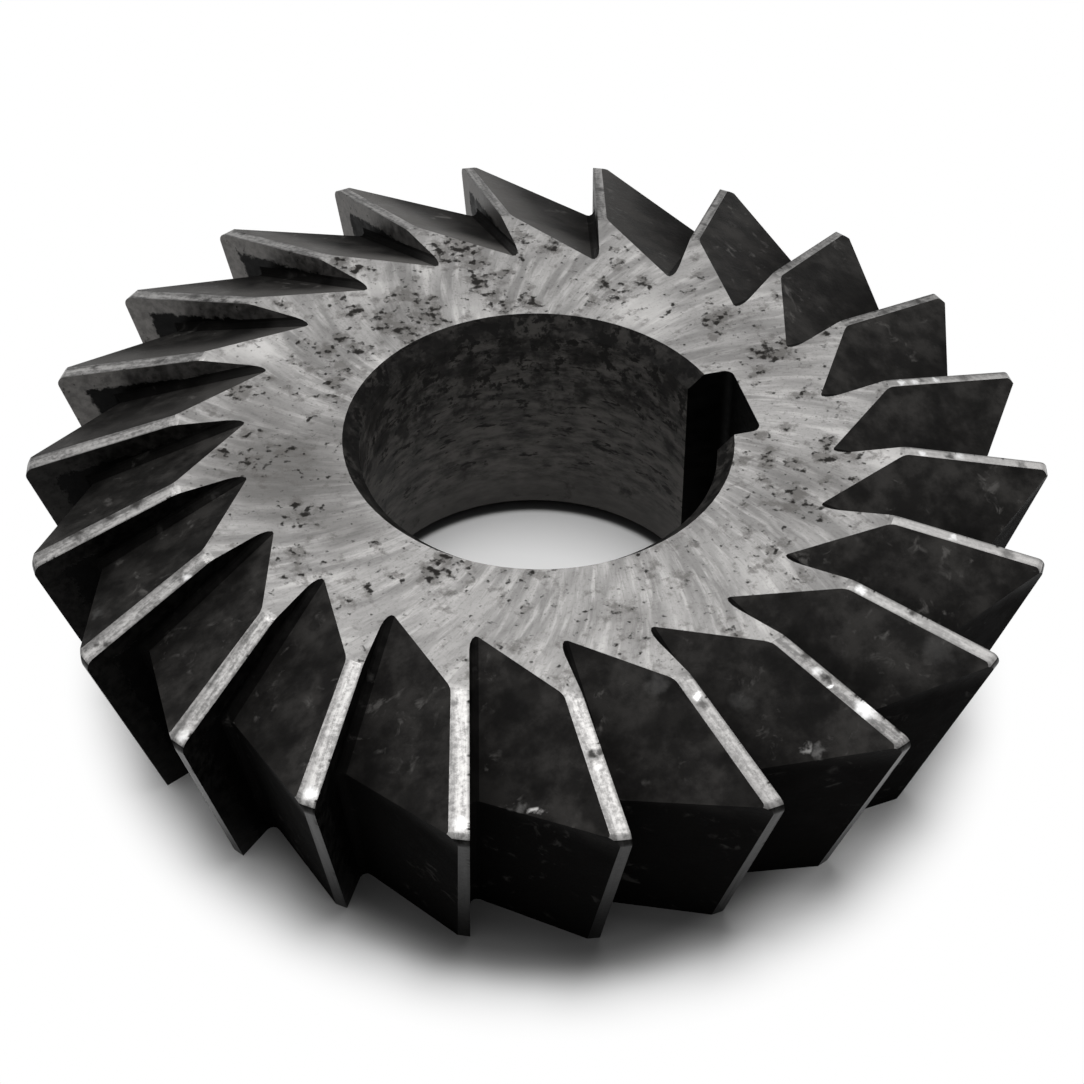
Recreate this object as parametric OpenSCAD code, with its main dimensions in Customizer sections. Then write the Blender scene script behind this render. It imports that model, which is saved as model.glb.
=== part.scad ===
// Double angle milling cutter with a keyed bore, lying on its wide flat face.
// Millimetres; the axis is Z, the lower face is z = 0, the keyway points along +X.

/* [Blank] */
// outside diameter over the tooth noses
cutter_d = 63; // [50:0.5:80]
// width between the two flat faces
width = 16; // [12:0.5:20]
// angle between the two cutting flanks
included_angle = 85; // [75:1:90]
// slope of the upper flank, measured from the flat face
upper_flank = 15; // [10:1:20]
// diameter where the upper face turns into the upper flank
face_d = 44.8; // [42:0.1:48]
// radius of the tooth noses
nose_r = 0.6; // [0.3:0.1:1.2]

/* [Teeth] */
// number of teeth
teeth = 22; // [18:1:24]
// angle of the first tooth nose from the keyway
first_tooth = 1.9; // [-8:0.1:8]
// radial rake of the cutting faces
rake = 7.8; // [3:0.1:10]
// width of the ground land behind the upper cutting edges, on the side where it is widest
upper_land = 1.1; // [1:0.05:1.4]
// width of the ground land behind the steep cutting edges
lower_land = 0.75; // [0.5:0.05:1.2]
// angle of the tooth spaces in the upper flank, rake face to tooth back
upper_gullet = 70.5; // [66:0.5:76]
// how much wider those spaces are opposite the widest lands, which narrows the lands there
gullet_runout = 1.7; // [0:0.1:1.8]
// direction of the widest lands from the keyway
widest_land = 222; // [0:1:359]
// angle of the tooth spaces in the steep flank, rake face to tooth back
lower_gullet = 64.5; // [62:0.5:72]
// rounding at the bottom of the tooth spaces
root_r = 0.4; // [0.2:0.05:0.7]

/* [Bore] */
// bore diameter, a running fit on the arbor
bore_d = 22; // [20:0.5:24]
// chamfer at both ends of the bore
bore_chamfer = 1; // [0.4:0.1:1.4]
// width of the keyway
key_w = 6; // [5:0.1:7]
// height from the far side of the bore to the keyway bottom
key_h = 24.4; // [23.5:0.1:26]
// corner radius at the keyway bottom
key_r = 0.6; // [0.2:0.1:1]

/* [Hidden] */
$fn = 96;
pitch = 360 / teeth;
bore_r = bore_d / 2;
face_r = face_d / 2;
key_x = key_h - bore_r;
lower_flank = included_angle - upper_flank;

// the nose is a circle tangent to both flanks; the sharp corner lies just outside it
half = included_angle / 2;
bisector = 90 - half - upper_flank;
corner_gap = nose_r / sin(half);
corner_r = cutter_d / 2 - nose_r + corner_gap * cos(bisector);
corner_z = width - (corner_r - face_r) * tan(upper_flank);
foot_r = corner_r - corner_z / tan(lower_flank);
nose = [corner_r - corner_gap * cos(bisector), corner_z - corner_gap * sin(bisector)];
nose_up = nose + nose_r * [sin(upper_flank), cos(upper_flank)];
nose_low = nose + nose_r * [sin(lower_flank), -cos(lower_flank)];

// every cutting face is a plane parallel to the axis, this far beside it
rake_off = cutter_d / 2 * sin(rake);

function unit(v) = v / norm(v);
function on_rake(r, z) = [sqrt(r * r - rake_off * rake_off), -rake_off, z];
// a point of the next tooth, the land width behind its cutting edge
function land_back(r, z, w) =
    let (a = asin(-rake_off / r) - w / r * 180 / PI + pitch) [r * cos(a), r * sin(a), z];
// normal of the tooth back that holds the line p1-p2 and makes the angle t with the rake face
function back_normal(p1, p2, t, up) =
    let (line = unit(p2 - p1), yp = [0, 1, 0] - line[1] * line, m = norm(yp),
         a = yp / m, b = cross(line, a), c = -cos(t) / m, s = sqrt(1 - c * c),
         n1 = c * a + s * b, n2 = c * a - s * b)
    n1[2] * up > n2[2] * up ? n1 : n2;
// slope of the line where a tooth back meets the rake face, positive downwards and outwards
function root_slope(n) = atan2(n[0], n[2]);
// the point of that line at height z
function root_x(n, p, z) = (n * p + n[1] * rake_off - n[2] * z) / n[0];

up_1 = land_back(face_r, width, upper_land);
up_2 = land_back(corner_r, corner_z, upper_land);
low_1 = land_back(corner_r, corner_z, lower_land);
low_2 = land_back(foot_r, 0, lower_land);
up_n = back_normal(up_1, up_2, upper_gullet, 1);
low_n = back_normal(low_1, low_2, lower_gullet, -1);
reach = cutter_d / 3;
root_steps = 4;

// section of the tooth space: rake face along +Y, tooth back at the angle t, bottom rounded
// in a few flats
module gullet_section(t) {
    up = root_r / tan(t / 2);
    polygon(concat([[0, 0.6 * reach], [0.6 * reach * sin(t), 0.6 * reach], [0.6 * reach * sin(t), 0.6 * reach * cos(t)]],
                   [for (i = [0:root_steps]) let (a = -t - i / root_steps * (180 - t))
                        [root_r, up] + root_r * [cos(a), sin(a)]]));
}

// angle of the upper tooth space ahead of tooth k, whose back belongs to the next tooth
function gullet_angle(k) =
    upper_gullet + gullet_runout * (1 - cos(first_tooth + (k + 1) * pitch - widest_land)) / 2;

// one tooth space: its bottom line passes height z, and starts `back` before that point
module gullet(n, p, t, z, back) {
    translate([root_x(n, p, z), -rake_off, z])
        rotate([0, root_slope(n), 0])
            rotate([90, 0, 90])
                translate([0, 0, -back]) linear_extrude(height = reach) gullet_section(t);
}

module blank() {
    rotate_extrude()
        union() {
            polygon([[bore_r, bore_chamfer], [bore_r + bore_chamfer, 0], [foot_r, 0], nose_low, nose,
                     nose_up, [face_r, width], [bore_r + bore_chamfer, width], [bore_r, width - bore_chamfer]]);
            translate(nose) circle(r = nose_r);
        }
}

module keyway() {
    translate([0, 0, -1])
        linear_extrude(height = width + 2)
            union() {
                translate([0, -key_w / 2]) square([key_x - key_r, key_w]);
                translate([0, -key_w / 2 + key_r]) square([key_x, key_w - 2 * key_r]);
                for (s = [-1, 1]) translate([key_x - key_r, s * (key_w / 2 - key_r)]) circle(r = key_r);
            }
}

module cutter() {
    color([0.55, 0.55, 0.56])
        difference() {
            blank();
            keyway();
            for (k = [0:teeth - 1])
                rotate([0, 0, first_tooth + rake + k * pitch])
                    union() {
                        gullet(up_n, up_1, gullet_angle(k), width, 0.3 * reach);
                        gullet(low_n, low_1, lower_gullet, 0, 0.8 * reach);
                    }
        }
}

cutter();
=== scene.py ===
# %% [markdown]
# # A double angle milling cutter on a white table
# The cutter is one ring of hardened steel. The solid model gives its true shape, so this
# scene only dresses it: worn edges, ground and blackened surfaces, a camera, soft light and
# a white table. Every length is in metres, in the same frame as the solid.

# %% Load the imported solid
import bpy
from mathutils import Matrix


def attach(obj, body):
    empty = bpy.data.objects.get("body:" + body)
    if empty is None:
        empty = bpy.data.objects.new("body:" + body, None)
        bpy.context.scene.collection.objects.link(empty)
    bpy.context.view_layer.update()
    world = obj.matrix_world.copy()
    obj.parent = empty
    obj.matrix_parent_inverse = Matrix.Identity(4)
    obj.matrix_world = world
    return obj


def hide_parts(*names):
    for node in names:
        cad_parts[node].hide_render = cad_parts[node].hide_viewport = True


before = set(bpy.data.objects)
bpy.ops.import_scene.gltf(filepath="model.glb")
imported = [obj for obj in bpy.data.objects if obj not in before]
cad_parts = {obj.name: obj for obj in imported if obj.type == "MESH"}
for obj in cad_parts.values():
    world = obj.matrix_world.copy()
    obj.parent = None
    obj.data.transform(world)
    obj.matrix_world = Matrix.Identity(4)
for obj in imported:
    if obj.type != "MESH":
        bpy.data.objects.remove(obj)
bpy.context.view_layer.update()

import math
import bpy
import bmesh
from mathutils import Matrix, Vector

scene = bpy.context.scene
MM = 0.001

# %% [markdown]
# ## Sizes that the finishes follow
# The ground bands and the blackened zones lie at known places on the cutter, so their sizes
# are written once here, in millimetres, and the sorting and the materials read them.

# %% Sizes of the cutter
WIDTH = 16.0
RIM_R = 31.5
FACE_R = 22.4
FOOT_R = 26.74
BORE_R = 11.0
CHAMFER = 1.0
KEY_HALF = 3.0
KEY_TOP = 13.4
FLANK_UP = math.radians(15)
FLANK_LOW = math.radians(70)
TEETH = 22
PITCH = 2 * math.pi / TEETH
RAKE = math.radians(7.8)
RAKE_OFFSET = RIM_R * math.sin(RAKE)
# the angle of the first cutting edge, seen from the keyway
FIRST = math.radians(1.9)
print("teeth", TEETH, "pitch", round(360 / TEETH, 2), "degrees")

# %% [markdown]
# ## Camera
# A long lens from about 44 degrees above the table. The place and turn were worked out from
# the tooth tips and the bore, so the drawing of the teeth falls where it should.

# %% Camera
lens = bpy.data.cameras.new("view_lens")
lens.sensor_fit = "HORIZONTAL"
lens.sensor_width = 36.0
lens.lens = 115.81
lens.clip_start = 0.01
lens.clip_end = 20.0
view = bpy.data.objects.new("view", lens)
scene.collection.objects.link(view)
view.rotation_euler = (0.83164043, -0.01112033, -0.27658688)
view.location = (-0.0455106, -0.1554620, 0.1548769)
scene.camera = view
print("camera", round(view.location.length * 1000), "mm from the axis")

# %% [markdown]
# ## Helpers for node materials
# A finish is a small net of nodes. One helper adds a node and fills its sockets, either
# with a number or with a link, and short names stand for the usual sums, so each material
# below reads as a list of steps.

# %% Nodes and sums
def add(tree, kind, inputs=None, **settings):
    node = tree.nodes.new(kind)
    for key, value in settings.items():
        setattr(node, key, value)
    for key, value in (inputs or {}).items():
        if isinstance(value, bpy.types.NodeSocket):
            tree.links.new(value, node.inputs[key])
        else:
            node.inputs[key].default_value = value
    return node


def math_node(tree, operation, *terms):
    return add(tree, "ShaderNodeMath", dict(enumerate(terms)), operation=operation).outputs[0]


def plus(tree, a, b):
    return math_node(tree, "ADD", a, b)


def minus(tree, a, b):
    return math_node(tree, "SUBTRACT", a, b)


def times(tree, a, b):
    return math_node(tree, "MULTIPLY", a, b)


def times_plus(tree, a, b, c):
    return math_node(tree, "MULTIPLY_ADD", a, b, c)


def larger(tree, a, b):
    return math_node(tree, "MAXIMUM", a, b)


def fade(tree, value, low, high, out_low=0.0, out_high=1.0):
    """out_low below low, out_high above high, smooth between"""
    node = add(tree, "ShaderNodeMapRange", {"Value": value, "From Min": low, "From Max": high,
                                            "To Min": out_low, "To Max": out_high},
               interpolation_type="SMOOTHSTEP", clamp=True)
    return node.outputs[0]


def near(tree, value, middle, close, far, strength):
    """strength while value is within close of middle, nothing beyond far"""
    gap = math_node(tree, "ABSOLUTE", minus(tree, value, middle))
    return fade(tree, gap, close, far, strength, 0.0)


def grey(v, tint=0.0):
    """a grey as linear colour, warmer by a share of tint"""
    return (v * (1 + tint), v, v * (1 - tint), 1.0)


def mix_colour(tree, factor, a, b):
    # this node has number, vector and colour sockets at once, so the colours are set by place
    return add(tree, "ShaderNodeMix", {0: factor, 6: a, 7: b}, data_type="RGBA").outputs[2]


print("sums ready")

# %% [markdown]
# All patterns read Object coordinates in millimetres, so they keep their real scale and stay
# in place on the steel. A pattern wound round the axis takes the sine and cosine of the
# angle instead of the angle itself, because the angle jumps at one place and would leave a
# seam there.

# %% Places and patterns
def millimetres(tree):
    place = add(tree, "ShaderNodeTexCoord").outputs["Object"]
    return add(tree, "ShaderNodeVectorMath", {0: place, "Scale": 1000.0}, operation="SCALE").outputs[0]


def polar(tree, vector):
    """the three coordinates of a place, its distance from the axis and its angle round it"""
    x, y, z = add(tree, "ShaderNodeSeparateXYZ", {0: vector}).outputs
    radius = math_node(tree, "SQRT", times_plus(tree, x, x, times(tree, y, y)))
    return x, y, z, radius, math_node(tree, "ARCTAN2", y, x)


def point(tree, *parts):
    return add(tree, "ShaderNodeCombineXYZ", dict(enumerate(parts))).outputs[0]


def noise_at(tree, vector, scale, detail=3.0, rough=0.55, distortion=0.0):
    return add(tree, "ShaderNodeTexNoise", {"Vector": vector, "Scale": scale, "Detail": detail,
                                            "Roughness": rough, "Distortion": distortion}).outputs["Fac"]


def around(tree, angle, radius, fine, long, twist):
    """a place wound round the axis: fine steps round it, long ones outwards, with a twist"""
    turned = times_plus(tree, radius, twist, angle)
    return point(tree, times(tree, math_node(tree, "COSINE", turned), fine),
                 times(tree, math_node(tree, "SINE", turned), fine), times(tree, radius, long))


def shaken(tree, vector, scale, reach):
    """the same place pushed about by noise, so that round spots get ragged outlines"""
    push = add(tree, "ShaderNodeTexNoise", {"Vector": vector, "Scale": scale, "Detail": 3.0})
    push = add(tree, "ShaderNodeVectorMath", {0: push.outputs["Color"], 1: (0.5, 0.5, 0.5)},
               operation="SUBTRACT")
    return add(tree, "ShaderNodeVectorMath", {0: push.outputs[0], 1: (2 * reach,) * 3, 2: vector},
               operation="MULTIPLY_ADD").outputs[0]


# a spot is full up to the first share of its radius and gone beyond the second
SPOT_CORE, SPOT_EDGE = 0.2, 1.3


def spots(tree, vector, places):
    """soft round spots at listed places: x, y, z, radius in millimetres, strength"""
    total = None
    for x, y, z, size, strength in places:
        gap = add(tree, "ShaderNodeVectorMath", {0: vector, 1: (x, y, z)}, operation="DISTANCE")
        spot = fade(tree, gap.outputs["Value"], SPOT_CORE * size, SPOT_EDGE * size, strength, 0.0)
        total = spot if total is None else larger(tree, total, spot)
    return total


print("patterns ready")

# %% [markdown]
# Every steel starts from the same shader and ends the same way: a colour, a roughness and a
# bump whose depth is given in metres.

# %% Start and end of a steel
def steel(name, metallic=1.0):
    material = bpy.data.materials.new(name)
    material.use_nodes = True
    tree = material.node_tree
    shader = tree.nodes["Principled BSDF"]
    shader.inputs["Metallic"].default_value = metallic
    return material, tree, shader


def surface(tree, shader, colour, rough, height, depth):
    tree.links.new(colour, shader.inputs["Base Color"])
    tree.links.new(rough, shader.inputs["Roughness"])
    bump = add(tree, "ShaderNodeBump", {"Height": height, "Strength": 0.5, "Distance": depth})
    tree.links.new(bump.outputs[0], shader.inputs["Normal"])


print("steel helpers ready")

# %% [markdown]
# ## The cutter's skin
# The solid's own mesh has mathematically sharp edges, which no ground tool keeps for long.
# A copy is merged into one closed skin, and each face is sorted by where it lies and which
# way it points: flat ring, land, tooth back, cutting face, bore, keyway. The sorting
# decides the finish of each face. Working on a copy leaves the solid itself untouched.

# %% Merge a copy of the solid
skin = bmesh.new()
skin.from_mesh(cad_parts["cutter"].data)
bmesh.ops.remove_doubles(skin, verts=skin.verts, dist=1e-6)
bmesh.ops.dissolve_limit(skin, angle_limit=math.radians(0.6), verts=skin.verts, edges=skin.edges,
                         delimit={"NORMAL"})
skin.normal_update()
print("skin", len(skin.verts), "corners", len(skin.faces), "faces")

# %% [markdown]
# Each tooth space has its own frame: the cutting face stands beside the axis by a fixed
# offset. A point's angle, corrected by that offset, tells how far its space is turned.

# %% Turn of a tooth space
def turn_of_space(x, y):
    """how far the tooth space at a place has been turned from the keyway"""
    r = math.hypot(x, y)
    lead = math.asin(min(1, RAKE_OFFSET / max(r, RAKE_OFFSET)))
    angle = math.atan2(y, x) - FIRST - RAKE + lead
    # the small sum keeps a place on the cutting face itself in its own space
    return FIRST + RAKE + math.floor(angle / PITCH + 1e-4) * PITCH


print("first space turned", round(math.degrees(turn_of_space(30.0, 2.0)), 1), "degrees")

# %% [markdown]
# The sorting compares directions by their dot product, which is 1 when they are the same.
# The limits get a little slack, so that rounding doesn't push a face past them.

# %% Sort the faces by surface
ZONES = ["ring", "land", "steep_land", "back", "steep_back", "cutting", "root", "bore",
         "chamfer", "keyway", "base"]
# two directions count as one above these dot products
SAME_WAY = 0.9995
CUTTING_WAY = 0.995
# a face is upright when its normal rises less than this
UPRIGHT = 0.02
# the chamfers stand at 45 degrees
HALF_TILTED = math.sqrt(0.5)
TILT_SLACK = 0.06
SLACK = 0.1
# the keyway's walls start inside the radius of the bore
KEY_START = 1.5
# the blunt nose of a tooth lies this close to the rim and faces outwards
NOSE = 0.6
NOSE_TILT = 0.12
# the rounded bottom of a tooth space is made of strips narrower than this
ROOT_STRIP = 0.4
# an upper back looks up more than this, a lower one doesn't
BACK_TILT = 0.45
UPPER_NORMAL = (math.sin(FLANK_UP), math.cos(FLANK_UP))
LOWER_NORMAL = (math.sin(FLANK_LOW), -math.cos(FLANK_LOW))


def zone_of(face):
    p = face.calc_center_median() / MM
    n = face.normal
    r = math.hypot(p.x, p.y)
    out = Vector((p.x / r, p.y / r, 0))
    side = Vector((-out.y, out.x, 0))
    if abs(n.z) > SAME_WAY:
        return "ring" if n.z > 0 else "base"
    if r < BORE_R + CHAMFER + SLACK and abs(abs(n.z) - HALF_TILTED) < TILT_SLACK:
        return "chamfer"
    in_key = abs(p.y) < KEY_HALF + SLACK / 2 and BORE_R - KEY_START < p.x < KEY_TOP + SLACK
    if abs(n.z) < UPRIGHT and in_key:
        return "keyway"
    if r < BORE_R + 2 * SLACK:
        return "bore"
    if n.dot(out * UPPER_NORMAL[0] + Vector((0, 0, UPPER_NORMAL[1]))) > SAME_WAY:
        return "land"
    if n.dot(out * LOWER_NORMAL[0] + Vector((0, 0, LOWER_NORMAL[1]))) > SAME_WAY:
        return "steep_land"
    if r > RIM_R - NOSE and abs(n.dot(side)) < NOSE_TILT:
        return "land" if n.z > 0.5 else "steep_land"
    if (Matrix.Rotation(-turn_of_space(p.x, p.y), 3, "Z") @ n).y > CUTTING_WAY:
        return "cutting"
    longest = max(e.calc_length() for e in face.edges)
    if face.calc_area() / longest < ROOT_STRIP * MM:
        return "root"
    return "back" if n.z > BACK_TILT else "steep_back"


for face in skin.faces:
    face.material_index = ZONES.index(zone_of(face))
count = {z: sum(f.material_index == i for f in skin.faces) for i, z in enumerate(ZONES)}
print("faces by surface", count)

# %% [markdown]
# ## Worn edges
# The corner where the ring turns down into a land is worn round over 0.3 mm. Every other
# outer edge is broken by a hair: the cutting edges by use, the rest by stoning after
# grinding. These narrow strips catch a thin line of light, which is what makes steel look
# like steel. The hollow corners at the bottom of the tooth spaces stay as they are.

# %% Break the outer edges
BROW = 0.3 * MM
HAIR = 0.05 * MM
# inside one surface an edge counts as a corner above the first bend,
# and between two surfaces above the second
FACET_BEND = math.radians(20)
LEAST_BEND = math.radians(9)
TURNED = ("bore", "chamfer")
strip_mark = skin.faces.layers.int.new("worn_strip")


def surfaces_at(edge):
    return {ZONES[f.material_index] for f in edge.link_faces}


def is_outer(edge):
    if len(edge.link_faces) != 2 or not edge.is_convex:
        return False
    bend = edge.calc_face_angle(0)
    return bend > FACET_BEND or (len(surfaces_at(edge)) == 2 and bend > LEAST_BEND)


def break_edges(edges, width, steps):
    made = bmesh.ops.bevel(skin, geom=edges, offset=width, offset_type="OFFSET", segments=steps,
                           profile=0.5, affect="EDGES", clamp_overlap=True, material=-1,
                           loop_slide=False)
    for strip in made["faces"]:
        strip[strip_mark] = 1
    print("worn edges", len(edges), "faces now", len(skin.faces))


break_edges([e for e in skin.edges if surfaces_at(e) == {"ring", "land"}], BROW, 4)
break_edges([e for e in skin.edges if is_outer(e)], HAIR, 2)

# %% [markdown]
# Smooth shading bends the light across a face towards its neighbours. On a narrow worn
# strip that is wanted. On a broad flat face it would draw false bands of light, so every
# edge of a flat face is marked sharp, and only strips and turned surfaces stay smooth.

# %% Mark the sharp edges
for face in skin.faces:
    face.smooth = True
for edge in skin.edges:
    strips = [f[strip_mark] for f in edge.link_faces]
    zones = surfaces_at(edge)
    one_turning = not any(strips) and len(zones) == 1 and zones <= set(TURNED)
    edge.smooth = len(strips) == 2 and (all(strips) or one_turning)
print("smooth edges", sum(e.smooth for e in skin.edges), "of", len(skin.edges))

# %% Close the skin as a mesh object
mesh = bpy.data.meshes.new("cutter_skin")
skin.to_mesh(mesh)
skin.free()
body = bpy.data.objects.new("cutter_skin", mesh)
scene.collection.objects.link(body)
print("skin closed", len(mesh.polygons), "faces")

# %% [markdown]
# ## Ground ring
# The flat ring round the bore was ground on a turning table, which leaves fine strokes that
# run outwards from the bore, a little bent. Damp storage has since stained it and eaten
# clusters of small dark pits into it. Brighter patches are painted on where the ground
# strokes throw a sheen of light, and some of the stains also stand in for painted shade. The
# strokes and the pits are noise. Lists of places say where the pits crowd together and where
# the stains lie, so the wear is where it really is, and another list says where the painted
# sheen lies. Each entry holds x, y and a radius in millimetres, and a strength from 0 to 1.

# %% Places of the rust clusters on the ring
CLUSTERS = [
    (-8.0, 14.7, 0.5, 1.0), (-6.7, 13.2, 0.9, 0.8), (-5.9, 12.6, 0.6, 0.7), (-5.3, 11.7, 0.8, 0.6),
    (-3.6, 13.2, 0.9, 0.75), (-3.9, 15.2, 0.9, 0.75), (-2.9, 15.0, 0.4, 0.8), (-5.0, 15.3, 0.5, 0.5),
    (-9.0, 16.6, 0.8, 0.6), (-8.4, 16.0, 0.4, 0.6), (-6.7, 18.9, 0.5, 1.0), (-7.5, 20.0, 0.6, 0.6),
    (-5.8, 17.9, 0.5, 0.6), (-3.2, 17.0, 0.4, 0.6), (-1.0, 19.4, 0.9, 0.7), (0.3, 19.4, 1.2, 0.9),
    (0.6, 17.4, 0.8, 0.8), (0.6, 15.6, 0.8, 0.8), (0.8, 14.0, 0.7, 0.6), (0.9, 12.8, 0.7, 0.8),
    (-11.4, 12.2, 0.5, 0.8), (-10.6, 11.2, 0.5, 0.8), (-11.0, 10.6, 0.4, 0.6), (-12.2, 10.3, 0.5, 0.7),
    (-13.0, 11.2, 0.6, 0.6), (-9.5, 12.2, 0.5, 0.8), (-8.6, 11.0, 0.6, 0.8), (-8.3, 10.2, 0.5, 0.6),
    (-10.3, 9.3, 0.7, 0.6), (-10.9, 8.3, 0.5, 0.6), (-11.3, 6.8, 0.5, 0.6), (-12.9, 5.3, 0.5, 0.6),
    (-16.9, 9.0, 0.9, 0.6), (-16.7, 4.8, 0.5, 0.5), (-18.9, 3.5, 0.6, 0.6), (-17.4, 2.2, 0.8, 0.6),
    (-14.2, 14.2, 0.8, 0.5), (-12.4, 16.8, 0.6, 0.5), (-15.4, 2.8, 0.7, 0.6), (-15.6, -3.2, 1.0, 0.7),
    (2.6, 16.1, 0.4, 0.8), (3.7, 17.5, 0.5, 0.5), (4.3, 19.3, 0.6, 0.8), (6.2, 18.0, 0.5, 0.8),
    (2.8, 13.0, 0.9, 0.9), (3.6, 14.3, 0.4, 0.7), (8.2, 13.2, 0.6, 0.8), (8.4, 12.0, 0.5, 0.8),
    (7.0, 11.9, 0.6, 0.6), (9.4, 12.8, 0.5, 0.5), (9.9, 16.8, 0.5, 0.8), (9.6, 14.9, 0.5, 0.8),
    (10.6, 17.6, 0.4, 0.8), (10.6, 12.8, 0.5, 0.8), (14.5, 12.6, 0.5, 0.8), (13.3, 11.4, 0.5, 0.7),
    (11.5, 9.6, 0.5, 0.8), (13.8, 8.0, 0.6, 0.7), (13.5, 7.0, 0.4, 0.7), (15.2, 8.6, 0.6, 0.5),
    (12.9, 6.1, 0.4, 0.5), (16.1, 4.0, 0.8, 0.9), (17.2, 3.6, 0.7, 0.8), (15.0, 2.6, 0.5, 0.5),
    (12.4, 3.6, 0.4, 0.6), (17.8, 4.8, 0.5, 0.9), (20.3, 5.0, 0.4, 0.7), (18.6, 9.4, 0.4, 0.7),
    (17.0, -0.5, 0.5, 0.4), (14.8, -3.5, 0.6, 0.7), (13.3, -3.7, 0.5, 0.6), (11.3, -5.2, 0.6, 0.6),
    (12.8, -6.0, 0.5, 0.7), (16.8, -5.1, 0.5, 0.7), (16.3, -6.4, 0.6, 0.9), (14.3, -6.8, 0.7, 0.7),
    (12.0, -7.6, 0.5, 0.8), (10.8, -8.9, 0.6, 0.6), (13.4, -9.0, 0.8, 0.7), (15.6, -8.4, 0.6, 0.6),
    (18.3, -7.1, 0.6, 0.7), (17.0, -8.9, 0.6, 0.6), (13.0, -10.4, 0.6, 0.6), (14.2, -11.0, 0.8, 0.8),
    (15.6, -11.6, 0.5, 0.6), (6.2, -11.8, 0.6, 0.6), (10.7, -13.2, 0.7, 0.7), (9.0, -15.2, 0.4, 0.8),
    (10.9, -16.8, 0.7, 0.5), (5.2, -17.4, 0.5, 0.6), (6.3, -19.6, 0.6, 0.7), (4.6, -14.6, 0.9, 0.5),
    (0.5, -15.9, 1.0, 0.6), (0.9, -18.8, 1.0, 0.5), (-14.7, -11.3, 0.6, 0.9), (-13.5, -10.4, 0.5, 0.7),
    (-11.4, -10.0, 0.6, 0.5), (-9.2, -10.2, 0.7, 0.9), (-8.4, -9.3, 0.5, 0.8), (-7.7, -10.0, 0.5, 0.5),
    (-4.9, -14.6, 0.5, 0.8), (-6.0, -13.6, 0.5, 0.6), (-4.6, -12.4, 0.5, 0.4), (-5.8, -17.0, 0.5, 0.7),
    (-10.9, 20.0, 0.5, 0.9), (-9.6, 18.9, 0.5, 0.9), (-8.6, 17.8, 0.4, 0.8), (-14.6, 19.2, 0.4, 0.7),
    (-11.0, -16.8, 0.5, 0.7), (-2.0, -16.2, 0.5, 0.5), (-12.0, -6.9, 0.4, 0.6), (-16.8, -6.3, 0.5, 0.6)]
print("clusters", len(CLUSTERS))

# %% Stained places, partly painted shade, and painted sheen on the ring
# stains, which in part also stand in for painted shade where the ring reflects less light
STAINS_AND_SHADE = [
    (-16.0, 1.0, 5.5, 0.8), (-13.5, -4.5, 3.5, 0.6), (16.5, 3.0, 3.5, 0.4), (15.0, -8.0, 3.5, 0.4),
    (-5.0, 14.5, 3.0, 0.4), (0.5, -17.0, 2.2, 0.4), (13.0, -10.0, 2.5, 0.35), (-10.5, 11.5, 3.0, 0.15),
    (1.0, 14.5, 2.5, 0.2), (13.0, -4.5, 2.0, 0.35), (14.5, 8.0, 2.5, 0.2), (-15.5, 6.0, 3.5, 0.5),
    (-12.3, 3.5, 2.6, 0.55), (-12.5, -1.5, 2.0, 0.3), (12.5, 4.5, 2.2, 0.25)]
# painted sheen: pale patches where the ground strokes catch the light
PAINTED_SHEEN = [
    (-15.0, 12.8, 2.0, 0.6), (-7.5, 9.5, 1.2, 0.4), (-19.0, 11.0, 1.6, 0.45), (9.0, -15.0, 2.5, 0.15),
    (20.0, -7.5, 1.8, 0.45), (-0.5, 13.0, 1.5, 0.3), (9.5, 10.0, 2.5, 0.35), (-6.0, 16.5, 1.6, 0.35)]
# the front of the ring was wiped, so its rust is fainter
FRONT_Y = -11
FRONT_RUST = 0.6
CLUSTER_REACH = 1.5
rust_places = [(x, y, WIDTH, CLUSTER_REACH * size, much * (FRONT_RUST if y < FRONT_Y else 1.0))
               for x, y, size, much in CLUSTERS]
stain_and_shade_places = [(x, y, WIDTH, size, much) for x, y, size, much in STAINS_AND_SHADE]
sheen_places = [(x, y, WIDTH, size, much) for x, y, size, much in PAINTED_SHEEN]
print("stains", len(STAINS_AND_SHADE), "painted sheen places", len(PAINTED_SHEEN))


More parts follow.
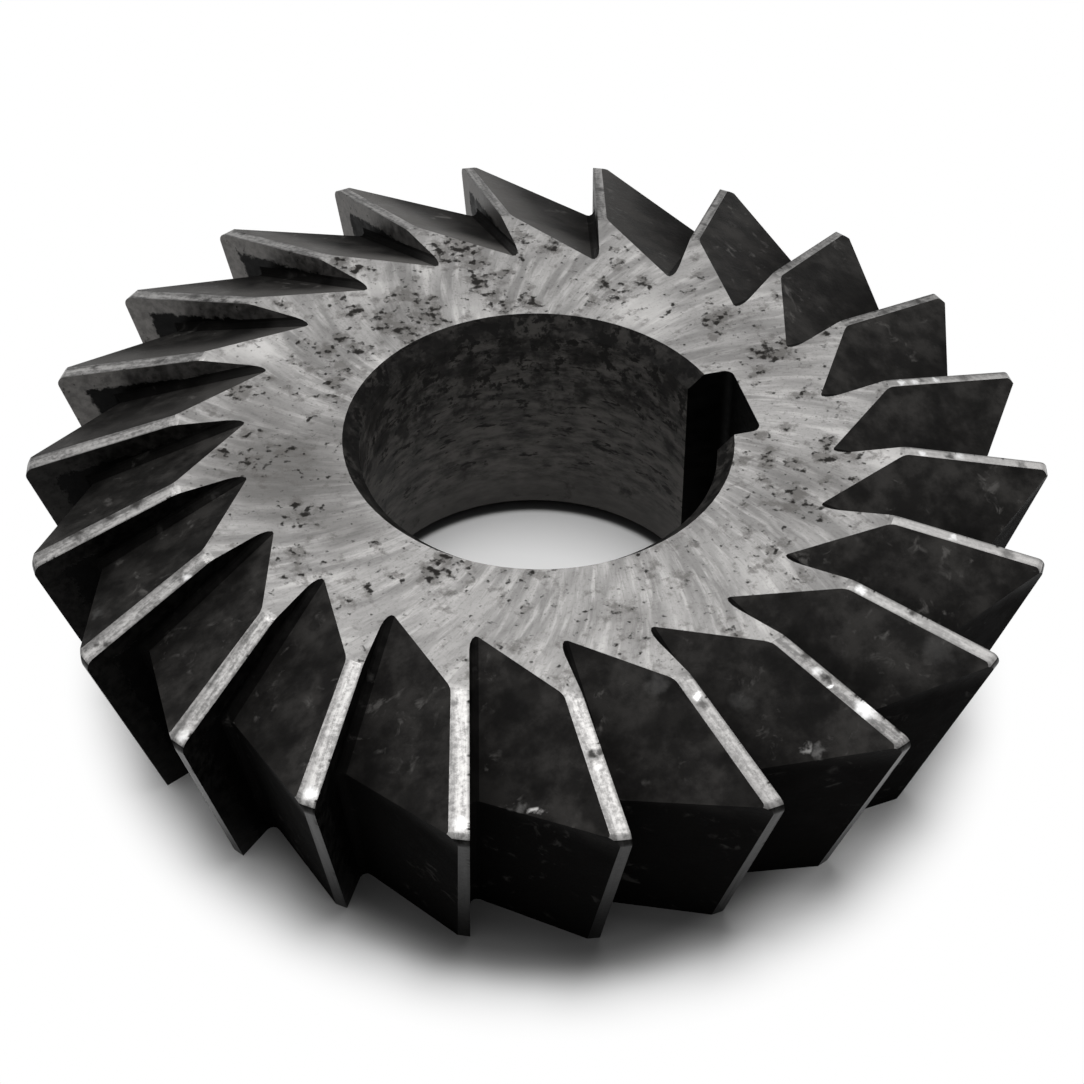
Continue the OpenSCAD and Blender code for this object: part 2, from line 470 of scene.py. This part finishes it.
# %% Ring steel
def ring_steel():
    material, tree, shader = steel("ring_steel")
    place = millimetres(tree)
    radius, angle = polar(tree, place)[3:]
    broad = around(tree, angle, radius, fine=11.0, long=0.15, twist=0.03)
    broad = noise_at(tree, broad, 1.0, detail=3.0, rough=0.55)
    strokes = around(tree, angle, radius, fine=28.0, long=0.3, twist=0.02)
    strokes = noise_at(tree, strokes, 1.0, detail=3.5, rough=0.55)
    hair = around(tree, angle, radius, fine=110.0, long=0.9, twist=0.017)
    hair = noise_at(tree, hair, 1.0, detail=3.0, rough=0.6)
    grain = noise_at(tree, place, 4.0, detail=3.0, rough=0.7)
    dull_steel, clean_steel, bright_steel = grey(0.22, 0.02), grey(0.34, 0.02), grey(0.58, 0.02)
    dirt, stain_and_shade_grey, sheen_grey = grey(0.1, 0.03), grey(0.1, 0.04), grey(0.62, 0.02)
    bloom_black, pit_black = grey(0.09, 0.06), grey(0.014, 0.1)
    tone = mix_colour(tree, fade(tree, broad, 0.36, 0.62), dull_steel, clean_steel)
    tone = mix_colour(tree, fade(tree, strokes, 0.48, 0.72, 0.0, 0.5), tone, bright_steel)
    tone = mix_colour(tree, fade(tree, hair, 0.28, 0.5, 0.3, 0.0), tone, dirt)
    tone = mix_colour(tree, fade(tree, grain, 0.28, 0.5, 0.35, 0.0), tone, dirt)
    # stains, partly painted shade, darken these places
    tone = mix_colour(tree, spots(tree, shaken(tree, place, 0.4, 2.0), stain_and_shade_places), tone, stain_and_shade_grey)
    # painted sheen brightens these places
    tone = mix_colour(tree, spots(tree, shaken(tree, place, 0.7, 1.4), sheen_places), tone, sheen_grey)
    crowd = spots(tree, shaken(tree, place, 0.9, 0.9), rust_places)
    drift = fade(tree, noise_at(tree, place, 0.3, detail=2.0), 0.4, 0.65, -0.02, 0.045)
    eaten = plus(tree, times_plus(tree, crowd, 0.2, drift),
                 noise_at(tree, place, 2.0, detail=2.0, rough=0.5))
    pits = fade(tree, eaten, 0.62, 0.78)
    bloom = plus(tree, times_plus(tree, crowd, 0.22, drift),
                 noise_at(tree, place, 1.1, detail=4.0, rough=0.65))
    tone = mix_colour(tree, fade(tree, bloom, 0.54, 0.72, 0.0, 0.65), tone, bloom_black)
    tone = mix_colour(tree, times(tree, pits, 0.92), tone, pit_black)
    rough = times_plus(tree, pits, 0.3, fade(tree, strokes, 0.3, 0.7, 0.38, 0.48))
    relief = times_plus(tree, hair, 0.4, times_plus(tree, grain, 0.4, strokes))
    surface(tree, shader, tone, rough, minus(tree, relief, pits), 0.02 * MM)
    return material


dress = {}
dress["ring"] = dress["base"] = ring_steel()
print("ring steel", len(dress["ring"].node_tree.nodes), "nodes")

# %% [markdown]
# ## Lands
# A land is the narrow ground strip just behind a cutting edge. Its scratches run along it,
# and use has left nicks in it. Bright glints on it are painted highlights. To run a pattern
# along every land, the material works out for each place how far it lies along its tooth and
# behind the cutting edge. The arithmetic is the same as in the sorting above, done with nodes.

# %% Tooth coordinates in nodes
def tooth_place(tree, x, y, radius, angle):
    """distance along the tooth, distance behind its cutting edge, and the tooth's number"""
    share = math_node(tree, "DIVIDE", RAKE_OFFSET, larger(tree, radius, RAKE_OFFSET))
    lead = math_node(tree, "ARCSINE", share)
    turned = minus(tree, plus(tree, angle, lead), FIRST + RAKE)
    number = math_node(tree, "CEIL", minus(tree, math_node(tree, "DIVIDE", turned, PITCH), 0.02))
    turn = times_plus(tree, number, PITCH, FIRST + RAKE)
    cosine = math_node(tree, "COSINE", turn)
    sine = math_node(tree, "SINE", turn)
    along = times_plus(tree, x, cosine, times(tree, y, sine))
    side = minus(tree, times(tree, x, sine), times(tree, y, cosine))
    behind = minus(tree, side, RAKE_OFFSET)
    return along, behind, math_node(tree, "FLOORED_MODULO", number, TEETH)


def on_land(tooth, radius, behind):
    """a place on the upper land of a tooth, counted from the keyway"""
    turn = FIRST + RAKE + (tooth - 1) * PITCH
    side = -RAKE_OFFSET - behind
    along = math.sqrt(radius ** 2 - side ** 2)
    x = along * math.cos(turn) - side * math.sin(turn)
    y = along * math.sin(turn) + side * math.cos(turn)
    return x, y, WIDTH - max(0.0, radius - FACE_R) * math.tan(FLANK_UP)


print("tooth 1 land starts at", [round(v, 1) for v in on_land(1, FACE_R, 0.0)])

# %% [markdown]
# Each entry holds the tooth's number, the distance from the axis, the distance behind the
# cutting edge and the radius of the mark, all in millimetres, and a strength from 0 to 1.

# %% Nicks and glints on the lands
NICKS = [
    (17, 26.3, 0.6, 0.4, 1.0), (17, 26.1, 0.1, 0.3, 0.8), (18, 24.4, 0.5, 0.4, 0.7),
    (19, 24.1, 0.1, 0.4, 0.9), (19, 25.9, 0.4, 0.35, 1.0), (13, 30.0, 0.2, 0.3, 0.9),
    (13, 30.5, 0.7, 0.25, 0.8), (13, 24.4, 0.7, 0.5, 0.5), (14, 24.2, 0.9, 0.35, 0.4),
    (14, 27.6, 0.95, 0.3, 0.7), (12, 24.8, 0.9, 0.5, 0.9), (12, 26.6, 1.0, 0.4, 0.9),
    (12, 28.6, 0.9, 0.5, 0.8), (9, 23.4, 0.1, 0.3, 0.9), (9, 24.4, 0.25, 0.35, 0.9),
    (9, 25.6, 0.15, 0.4, 0.9), (9, 26.7, 0.5, 0.4, 0.7), (22, 25.2, 0.4, 0.35, 0.9),
    (22, 29.8, 0.4, 0.4, 0.7), (20, 26.2, 0.15, 0.35, 0.9), (21, 29.3, 0.4, 0.5, 0.7),
    (5, 27.4, 0.4, 0.5, 0.8), (8, 30.2, 0.8, 0.35, 0.9), (10, 25.1, 0.5, 0.5, 0.7),
    (10, 29.4, 0.7, 0.35, 0.8), (2, 26.2, 0.3, 0.4, 0.7), (2, 29.4, 0.3, 0.4, 0.7),
    (4, 28.2, 0.2, 0.4, 0.8), (4, 25.0, 0.3, 0.3, 0.7), (3, 24.0, 0.3, 0.3, 0.7),
    (1, 28.0, 0.3, 0.5, 0.6), (1, 24.9, 0.2, 0.2, 0.7), (16, 23.4, 0.9, 0.3, 0.5)]
GLINTS = [
    (1, 23.4, 0.35, 0.3, 1.0), (1, 24.3, 0.35, 0.3, 0.9), (1, 25.9, 0.35, 0.25, 0.9),
    (20, 23.1, 0.45, 0.35, 1.0), (21, 26.0, 0.35, 0.3, 0.8), (22, 23.5, 0.45, 0.3, 1.0),
    (22, 25.8, 0.3, 0.3, 0.7), (19, 26.4, 0.7, 0.2, 1.0), (19, 28.6, 0.4, 0.7, 0.8),
    (19, 25.2, 0.5, 0.35, 0.5), (18, 23.8, 0.5, 0.3, 0.7), (17, 27.0, 0.5, 0.3, 0.25),
    (15, 30.8, 0.5, 0.5, 0.5), (14, 31.0, 0.4, 0.4, 0.4), (13, 24.0, 0.2, 0.3, 0.6),
    (16, 30.6, 0.5, 0.5, 0.4)]
nick_places = [(*on_land(tooth, r, back), size, much) for tooth, r, back, size, much in NICKS]
glint_places = [(*on_land(tooth, r, back), size, much) for tooth, r, back, size, much in GLINTS]
print("nicks", len(NICKS), "glints", len(GLINTS))


# %% Land steel
def land_steel(name, low, high):
    material, tree, shader = steel(name)
    place = millimetres(tree)
    x, y, _, radius, angle = polar(tree, place)
    along, behind, number = tooth_place(tree, x, y, radius, angle)
    # scratches are long along the tooth, and each tooth reads its own slice of the noise
    lengthways = point(tree, times(tree, along, 0.35), times(tree, behind, 3.0), times(tree, number, 3.7))
    scratch = noise_at(tree, lengthways, 1.0, detail=4.0, rough=0.6)
    grain = noise_at(tree, place, 3.5, detail=3.0, rough=0.7)
    blend = times_plus(tree, scratch, 0.55, times(tree, grain, 0.45))
    tone = mix_colour(tree, fade(tree, blend, 0.38, 0.62), grey(low, 0.02), grey(high, 0.02))
    # painted highlight brightens the lands right of the front, and painted shade dulls two in front
    tone = mix_colour(tree, near(tree, angle, -0.45, 0.25, 0.65, 0.45), tone, grey(1.6 * high, 0.02))
    tone = mix_colour(tree, near(tree, angle, -1.42, 0.15, 0.35, 0.4), tone, grey(low, 0.02))
    # both rims of a land are darker than its middle
    rim = larger(tree, fade(tree, behind, 0.0, 0.2, 0.6, 0.0), fade(tree, behind, 0.6, 1.0, 0.0, 0.45))
    tone = mix_colour(tree, rim, tone, grey(0.3 * low, 0.02))
    loose = shaken(tree, place, 2.8, 0.32)
    # painted highlight: glints are mixed in as near-white spots
    glint = spots(tree, loose, glint_places)
    nick = spots(tree, loose, nick_places)
    # small chips bite into the cutting edge at places that differ from tooth to tooth
    chipping = point(tree, along, times(tree, number, 5.3))
    bite = fade(tree, noise_at(tree, chipping, 1.6, detail=3.0, rough=0.6), 0.58, 0.66)
    bite = times(tree, bite, fade(tree, behind, 0.02, 0.25, 1.0, 0.0))
    dark = larger(tree, times(tree, nick, 0.9), bite)
    painted_glint_white, nick_black = grey(0.98), grey(0.02, 0.05)
    tone = mix_colour(tree, dark, mix_colour(tree, glint, tone, painted_glint_white), nick_black)
    rough = times_plus(tree, dark, 0.2, fade(tree, scratch, 0.3, 0.7, 0.32, 0.45))
    relief = minus(tree, times_plus(tree, grain, 0.5, scratch), dark)
    surface(tree, shader, tone, rough, relief, 0.03 * MM)
    return material


dress["land"] = land_steel("land_steel", 0.16, 0.44)
# the lower lands are the same ground steel painted almost black, as painted shade, because they face down
# away from the light
dress["steep_land"] = land_steel("steep_land_shaded_steel", 0.006, 0.025)
print("land steel", len(dress["land"].node_tree.nodes), "nodes")

# %% [markdown]
# ## Tooth backs
# The backs keep the black skin of the hardening furnace: almost no colour and a faint cloudy
# sheen. They are painted darker towards the bottom of the tooth space, as painted shade. On
# the upper left side of the cutter a painted sheen makes them paler next to the lands. A few
# knocks have broken through to bright steel. Each knock holds x, y, z and a radius in
# millimetres, and a strength.

# %% Black back
KNOCKS = [
    (-8.1, -27.3, 12.95, 0.32, 0.7), (-8.8, -27.0, 13.1, 0.5, 0.12), (-7.6, -27.6, 12.9, 0.3, 0.35),
    (8.3, -27.1, 13.1, 0.32, 0.3), (8.9, -27.2, 13.1, 0.4, 0.12), (5.4, -23.4, 14.3, 0.7, 0.03),
    (0.7, -22.2, 15.7, 0.7, 0.05), (17.8, -22.2, 14.2, 1.0, 0.03), (-28.5, -5.6, 13.3, 0.5, 0.04)]


def painted_lit_side(tree, angle):
    """1 on the upper left side of the cutter, where paler colour is painted on as light"""
    return times(tree, fade(tree, angle, 0.9, 1.6), fade(tree, angle, 2.5, 2.95, 1.0, 0.0))


def black_skin(name, low, high, gloss):
    material, tree, shader = steel(name, 0.0)
    shader.inputs["Specular IOR Level"].default_value = gloss
    place = millimetres(tree)
    z, radius, angle = polar(tree, place)[2:]
    cloud = noise_at(tree, place, 0.5, detail=5.0, rough=0.65)
    blotch = noise_at(tree, place, 0.22, detail=4.0, rough=0.6)
    tone = mix_colour(tree, fade(tree, cloud, 0.35, 0.68), grey(low, 0.05), grey(high, 0.05))
    tone = mix_colour(tree, fade(tree, blotch, 0.5, 0.62, 0.0, 0.6), tone, grey(0.3 * low, 0.05))
    # the depth under the upper flank tells how far a place is down in its tooth space
    drop = times(tree, minus(tree, radius, FACE_R), math.tan(FLANK_UP))
    depth = minus(tree, minus(tree, WIDTH, z), larger(tree, drop, 0.0))
    paler = times(tree, painted_lit_side(tree, angle), fade(tree, depth, 0.1, 1.3, 0.85, 0.0))
    paler = times(tree, paler, fade(tree, angle, 1.7, 2.3, 1.0, 0.5))
    # painted sheen: paler next to the lands on the upper left side
    tone = mix_colour(tree, paler, tone, grey(11 * low, 0.04))
    # painted shade: darker deeper in the tooth space
    tone = mix_colour(tree, fade(tree, depth, 0.5, 3.0, 0.0, 0.9), tone, grey(0.002, 0.05))
    wisp = noise_at(tree, place, 0.9, detail=4.0, rough=0.6, distortion=0.6)
    wisp = times(tree, fade(tree, wisp, 0.56, 0.72, 0.0, 0.8), fade(tree, blotch, 0.42, 0.52, 1.0, 0.0))
    tone = mix_colour(tree, wisp, tone, grey(2.8 * high, 0.04))
    tone = mix_colour(tree, spots(tree, shaken(tree, place, 1.7, 0.65), KNOCKS), tone, grey(0.8, 0.02))
    # dirt at the bottom of the tooth spaces takes the sheen away
    rough = plus(tree, fade(tree, cloud, 0.3, 0.7, 0.42, 0.58), fade(tree, depth, 0.3, 2.6, 0.0, 0.35))
    crust = noise_at(tree, place, 2.5, detail=5.0, rough=0.7)
    surface(tree, shader, tone, rough, crust, 0.06 * MM)
    return material


dress["back"] = black_skin("black_skin", 0.009, 0.030, 0.04)
# the lower backs and the tooth-space roots are the same skin painted darker, as painted shade
dress["steep_back"] = dress["root"] = black_skin("steep_black_skin_shaded", 0.002, 0.009, 0.02)
print("knocks", len(KNOCKS), "black skin", len(dress["back"].node_tree.nodes), "nodes")

# %% [markdown]
# ## Cutting faces
# A cutting face is ground only along its two edges, so a band about 1.3 mm wide follows the
# outline of the tooth and ends in a ragged border. The band is painted pale on the upper left
# side of the cutter, as painted light, and dark elsewhere, as painted shade. Below it the face
# is hollow and black. The band is found from the distance to both flanks.

# %% Cutting face steel
def cutting_steel():
    material, tree, shader = steel("cutting_steel")
    shader.inputs["Specular IOR Level"].default_value = 0.05
    place = millimetres(tree)
    z, radius, angle = polar(tree, place)[2:]
    under_flank = minus(tree, times(tree, minus(tree, WIDTH, z), math.cos(FLANK_UP)),
                        times(tree, minus(tree, radius, FACE_R), math.sin(FLANK_UP)))
    flank_r = times_plus(tree, z, 1 / math.tan(FLANK_LOW), FOOT_R)
    inside = times(tree, minus(tree, flank_r, radius), math.sin(FLANK_LOW))
    edge = math_node(tree, "MINIMUM", under_flank, times(tree, inside, 0.8))
    # noise shifts the border of the band in and out
    ragged = times_plus(tree, noise_at(tree, place, 1.5, detail=5.0, rough=0.7), 1.2,
                        minus(tree, edge, 0.6))
    hollow = fade(tree, ragged, 1.15, 1.35)
    cloud = noise_at(tree, place, 1.6, detail=4.0, rough=0.65)
    clouded = fade(tree, cloud, 0.3, 0.7)
    # painted light: the band is pale on the upper left side and dark, as painted shade, elsewhere
    painted_lit_band = mix_colour(tree, clouded, grey(0.07, 0.04), grey(0.16, 0.04))
    dark = mix_colour(tree, clouded, grey(0.004, 0.05), grey(0.014, 0.05))
    ground = mix_colour(tree, painted_lit_side(tree, angle), dark, painted_lit_band)
    pits = fade(tree, noise_at(tree, place, 1.9, detail=4.0, rough=0.7), 0.62, 0.68)
    ground = mix_colour(tree, times(tree, pits, 0.9), ground, grey(0.006, 0.05))
    tone = mix_colour(tree, hollow, ground, grey(0.0015, 0.05))
    # the ground band is bare metal, the hollow is coated
    tree.links.new(fade(tree, hollow, 0.0, 1.0, 0.8, 0.0), shader.inputs["Metallic"])
    rough = fade(tree, cloud, 0.3, 0.7, 0.42, 0.6)
    surface(tree, shader, tone, rough, minus(tree, cloud, hollow), 0.05 * MM)
    return material


dress["cutting"] = cutting_steel()
print("cutting steel", len(dress["cutting"].node_tree.nodes), "nodes")

# %% [markdown]
# ## Bore and keyway
# The bore has turned brown-black with old rust. Where the arbor has rubbed it, short streaks
# run round it, and black blotches and dots of deeper rust lie over them, thickest near the
# upper rim. The chamfers and the keyway are darker still.

# %% Bore steel
def bore_steel(name, low, high, blotched):
    material, tree, shader = steel(name, 0.2)
    shader.inputs["Specular IOR Level"].default_value = 0.1
    place = millimetres(tree)
    x, y, z = polar(tree, place)[:3]
    # squeezing the pattern along the axis draws it out into streaks round the bore
    flat = point(tree, x, y, times(tree, z, 2.8))
    streak = noise_at(tree, flat, 0.6, detail=4.0, rough=0.65)
    # the streaks die out towards the bottom
    smooth_low = fade(tree, z, 1.0, 6.0, 0.2, 1.0)
    streak = times_plus(tree, minus(tree, streak, 0.45), smooth_low, 0.45)
    tone = mix_colour(tree, fade(tree, streak, 0.33, 0.66), grey(low, 0.05), grey(high, 0.06))
    high_up = fade(tree, z, 5.0, 14.5, -0.06, 0.12)
    cloud = plus(tree, noise_at(tree, place, 0.5, detail=4.0, rough=0.65), high_up)
    black = fade(tree, cloud, blotched - 0.08, blotched + 0.08, 0.0, 0.75)
    dashes = fade(tree, noise_at(tree, flat, 0.75, detail=3.0, rough=0.6), 0.57, 0.66, 0.0, 0.9)
    dashes = times(tree, dashes, fade(tree, z, 2.5, 5.0))
    dots = plus(tree, noise_at(tree, place, 1.2, detail=4.0, rough=0.65), high_up)
    dark = larger(tree, larger(tree, black, dashes), fade(tree, dots, 0.6, 0.7, 0.0, 0.9))
    tone = mix_colour(tree, dark, tone, grey(0.15 * low, 0.08))
    surface(tree, shader, tone, fade(tree, streak, 0.3, 0.7, 0.45, 0.65), streak, 0.05 * MM)
    return material


dress["bore"] = bore_steel("bore_steel", 0.035, 0.11, 0.6)
dress["chamfer"] = bore_steel("chamfer_steel", 0.009, 0.035, 0.62)
dress["keyway"] = bore_steel("keyway_steel", 0.001, 0.003, 0.57)
print("bore steel", len(dress["bore"].node_tree.nodes), "nodes")

# %% Dress the skin
for zone in ZONES:
    mesh.materials.append(dress[zone])
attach(body, "root")
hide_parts("cutter")
print("dressed in", len(set(dress.values())), "finishes")

# %% [markdown]
# ## Table
# The cutter lies on white paper that fades into a white background. Near the cutter the
# paper is a plain diffuse sheet, so it keeps the soft shadow, and further out it turns into
# an even white for the eye and for the mirroring steel. The light comes from behind, so the
# shadow reaches further in front, and the paper is painted darker there close under the
# teeth, and round the rim of the bore, where the shadow is deepest.

# %% White table
def seen_rays(tree):
    """the light path node, and 1 for what the camera sees, mirrored and clear surfaces too"""
    path = add(tree, "ShaderNodeLightPath")
    mirrored_too = larger(tree, path.outputs["Is Glossy Ray"], path.outputs["Is Transmission Ray"])
    return path, larger(tree, path.outputs["Is Camera Ray"], mirrored_too)


def oval(tree, place, stretch, centre):
    """distance from a centre in millimetres, measured after x is stretched"""
    wider = add(tree, "ShaderNodeVectorMath", {0: place, 1: (stretch, 1.0, 1.0)}, operation="MULTIPLY")
    return add(tree, "ShaderNodeVectorMath", {0: wider.outputs[0], 1: centre},
               operation="DISTANCE").outputs["Value"]


def table_white():
    material = bpy.data.materials.new("table_white")
    material.use_nodes = True
    tree = material.node_tree
    tree.nodes.clear()
    place = millimetres(tree)
    radius = polar(tree, place)[3]
    white_paper, dark_paper = grey(0.88), grey(0.15)
    far = fade(tree, oval(tree, place, 1.06, (-0.8, -2.9, 0.0)), 25.5, 31.8)
    ahead = fade(tree, oval(tree, place, 1.24, (-3.8, -6.2, 0.0)), 20.8, 25.2, 0.92, 0.0)
    teeth = times(tree, ahead, fade(tree, radius, 13.0, 18.0))
    rim = times(tree, fade(tree, radius, 10.7, 11.4), fade(tree, radius, 13.0, 18.0, 1.0, 0.0))
    paper = mix_colour(tree, larger(tree, teeth, rim), white_paper, dark_paper)
    paper = add(tree, "ShaderNodeBsdfDiffuse", {"Color": paper}).outputs[0]
    even = add(tree, "ShaderNodeEmission", {"Color": grey(1.0), "Strength": 1.0}).outputs[0]
    mix = add(tree, "ShaderNodeMixShader", {0: times(tree, seen_rays(tree)[1], far), 1: paper, 2: even})
    add(tree, "ShaderNodeOutputMaterial", {0: mix.outputs[0]})
    return material


TABLE_HALF = 1.5
sheet = bmesh.new()
bmesh.ops.create_grid(sheet, x_segments=1, y_segments=1, size=TABLE_HALF)
table_mesh = bpy.data.meshes.new("table")
sheet.to_mesh(table_mesh)
sheet.free()
table = bpy.data.objects.new("table", table_mesh)
scene.collection.objects.link(table)
table_mesh.materials.append(table_white())
print("table laid")

# %% [markdown]
# ## Light
# The room is white to the eye. Mirroring steel sees it greyer towards the table, and it
# lights matt surfaces at less than half strength. Three lamps are added. One stands above
# and behind and one at the left, and both are seen only as reflections, so that the lands
# shine but the shadow stays soft. The third hangs above the cutter, lights the table and
# the matt surfaces, and is never mirrored.

# %% Room
ROOM_LIGHT = 0.42
world = bpy.data.worlds.new("white_room")
scene.world = world
world.use_nodes = True
tree = world.node_tree
tree.nodes.clear()
path, seen = seen_rays(tree)
sky = add(tree, "ShaderNodeTexCoord").outputs["Generated"]
height = add(tree, "ShaderNodeSeparateXYZ", {0: sky}).outputs[2]
mirrored = larger(tree, path.outputs["Is Camera Ray"], fade(tree, height, 0.1, 0.6, 0.3, 1.0))
matt = times(tree, minus(tree, 1.0, seen), ROOM_LIGHT)
room = add(tree, "ShaderNodeBackground", {"Color": grey(1.0),
                                          "Strength": plus(tree, times(tree, seen, mirrored), matt)})
add(tree, "ShaderNodeOutputWorld", {0: room.outputs[0]})
print("room light", ROOM_LIGHT)


# %% Lamps
def lamp(name, place, size, watts):
    """a square lamp of a size in metres that points at the cutter"""
    data = bpy.data.lights.new(name, "AREA")
    data.shape = "RECTANGLE"
    data.size = data.size_y = size
    data.energy = watts
    obj = bpy.data.objects.new(name, data)
    scene.collection.objects.link(obj)
    obj.location = place
    obj.rotation_euler = (Vector((0, 0, 0.01)) - Vector(place)).to_track_quat("-Z", "Y").to_euler()
    return obj


above = lamp("above_behind", (0.046, 0.159, 0.577), 0.35, 1.15)
above.visible_diffuse = False
left = lamp("from_left", (-0.45, 0.2, 0.3), 0.3, 0.3)
left.visible_diffuse = False
table_lamp = lamp("for_the_table", (0.01, 0.02, 0.65), 0.35, 2.8)
table_lamp.visible_glossy = False
scene.view_settings.view_transform = "Standard"
print("lamps", [o.name for o in (above, left, table_lamp)])
